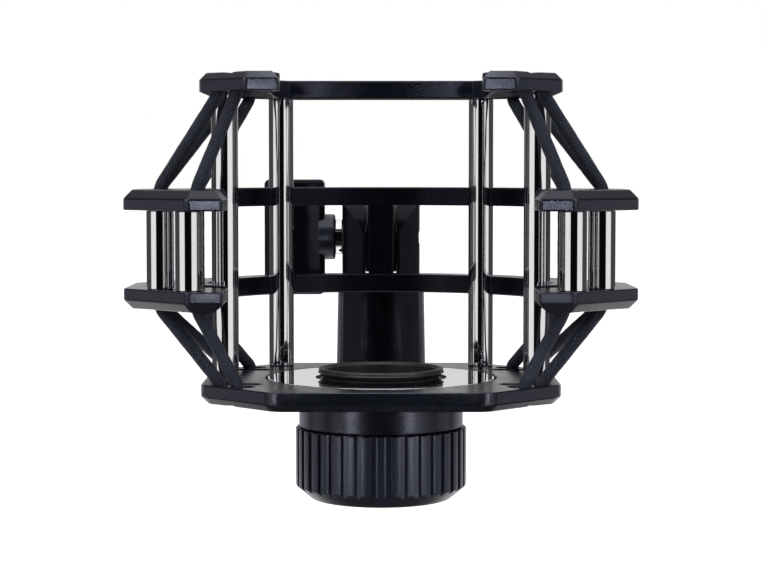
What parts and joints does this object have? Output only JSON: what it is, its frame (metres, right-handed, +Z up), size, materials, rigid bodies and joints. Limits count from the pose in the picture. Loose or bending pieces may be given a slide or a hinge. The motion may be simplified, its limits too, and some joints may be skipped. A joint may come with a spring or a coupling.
{
  "type": "microphone shock mount",
  "caption": "Elastic shock mount: an inner cage with a ring nut for a studio microphone hangs by cord loops in an open outer frame that tilts on a clamped stand post.",
  "frame": {"origin": "bottom centre of the bounding box, level with the ring nut's lower edge", "axes": "+Z up along the microphone, -Y out of the open front, +Y towards the stand post, +X to the right seen from the front"},
  "size_m": [0.111, 0.1084, 0.0942],
  "materials": {
    "moulding": "satin black moulded plastic with a faint fine grain",
    "knob": "black moulded plastic, slightly rougher than the frames",
    "chrome": "mirror-polished chrome plate",
    "post": "satin black powder coat on die-cast metal",
    "rubber": "matte black rubber",
    "cord": "fine diagonal braid over an elastic core",
    "screw": "blackened steel",
    "brass": "plain turned brass"
  },
  "bodies": {
    "stand": {"stand_post": "post", "clamp_nut": "screw", "clamp_washer": "chrome", "friction_washer_left": "rubber", "friction_washer_right": "rubber"},
    "adapter": {"thread_adapter": "brass"},
    "clamp": {"wing_handle": "knob", "clamp_bolt": "chrome"},
    "outer_frame": {"upper_ring": "moulding", "lower_ring": "moulding", "hinge_tongue": "post", "pillar_front_left": "chrome", "pillar_front_right": "chrome", "pillar_side_left": "chrome", "pillar_side_right": "chrome", "pillar_screw_top_front_left": "screw", "pillar_screw_top_front_right": "screw", "pillar_screw_top_side_left": "screw", "pillar_screw_top_side_right": "screw", "pillar_screw_base_front_left": "screw", "pillar_screw_base_front_right": "screw", "pillar_screw_base_side_left": "screw", "pillar_screw_base_side_right": "screw", "tongue_screw_top": "screw", "tongue_screw_base": "screw", "cord_front_left": "cord", "cord_front_right": "cord", "cord_rear_left": "cord", "cord_rear_right": "cord"},
    "cage": {"base_plate": "moulding", "top_frame": "moulding", "trim_disc": "chrome", "microphone_seal": "rubber", "neck_sleeve": "moulding", "cage_rod_front_left": "chrome", "cage_rod_front_right": "chrome", "cage_rod_rear_left": "chrome", "cage_rod_rear_right": "chrome", "neck_screw_1": "screw", "neck_screw_2": "screw", "neck_screw_3": "screw", "rod_screw_top_front_left": "screw", "rod_screw_top_front_right": "screw", "rod_screw_top_rear_left": "screw", "rod_screw_top_rear_right": "screw", "rod_screw_base_front_left": "screw", "rod_screw_base_front_right": "screw", "rod_screw_base_rear_left": "screw", "rod_screw_base_rear_right": "screw"},
    "ring_nut": {"retaining_knob": "knob", "knob_circlip": "screw"}
  },
  "joints": [
    {"name": "frame_tilt", "type": "hinge", "parent": "stand", "child": "outer_frame", "pos_m": [0, 0.04275, 0.0564], "axis": [1, 0, 0], "range_deg": [-95, 15]},
    {"name": "suspension", "type": "slide", "parent": "outer_frame", "child": "cage", "axis": [0, 0, 1], "range_m": [-0.004, 0.004], "stiffness_N_per_m": 800, "springref_m": 0.0015, "deforming": ["cord_front_left", "cord_front_right", "cord_rear_left", "cord_rear_right"]},
    {"name": "ring_nut_turn", "type": "hinge", "parent": "cage", "child": "ring_nut", "pos_m": [0, -0.02125, 0.0081], "axis": [0, 0, 1], "continuous": true},
    {"name": "clamp_turn", "type": "hinge", "parent": "stand", "child": "clamp", "pos_m": [-0.022, 0.04275, 0.0564], "axis": [1, 0, 0], "range_deg": [-360, 0]},
    {"name": "adapter_turn", "type": "hinge", "parent": "stand", "child": "adapter", "pos_m": [0, 0.04275, 0.0211], "axis": [0, 0, 1], "continuous": true}
  ]
}
